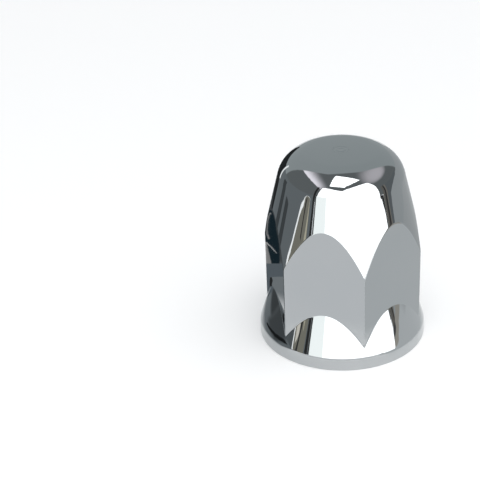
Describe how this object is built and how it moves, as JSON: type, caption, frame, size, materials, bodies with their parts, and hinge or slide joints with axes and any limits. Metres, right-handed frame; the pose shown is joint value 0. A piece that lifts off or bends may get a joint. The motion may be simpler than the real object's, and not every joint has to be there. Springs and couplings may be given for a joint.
{
  "type": "wheel nut cover cap",
  "caption": "Bright plated push-on cover for a hex wheel nut: domed bullet crown, hexagonal body and flared round skirt, hollow with grip pads inside.",
  "frame": {"origin": "centre of the open rim, in the plane that the rim stands on", "axes": "+Z along the cap's axis, from the open rim to the closed crown; a corner of the hexagon points along +X and the flats face 30, 90 and 150 degrees from it"},
  "size_m": [0.0506, 0.0506, 0.06],
  "materials": {
    "chrome": "bright mirror plating over moulded plastic"
  },
  "bodies": {
    "root": {"nut_cover": "chrome"}
  },
  "joints": []
}
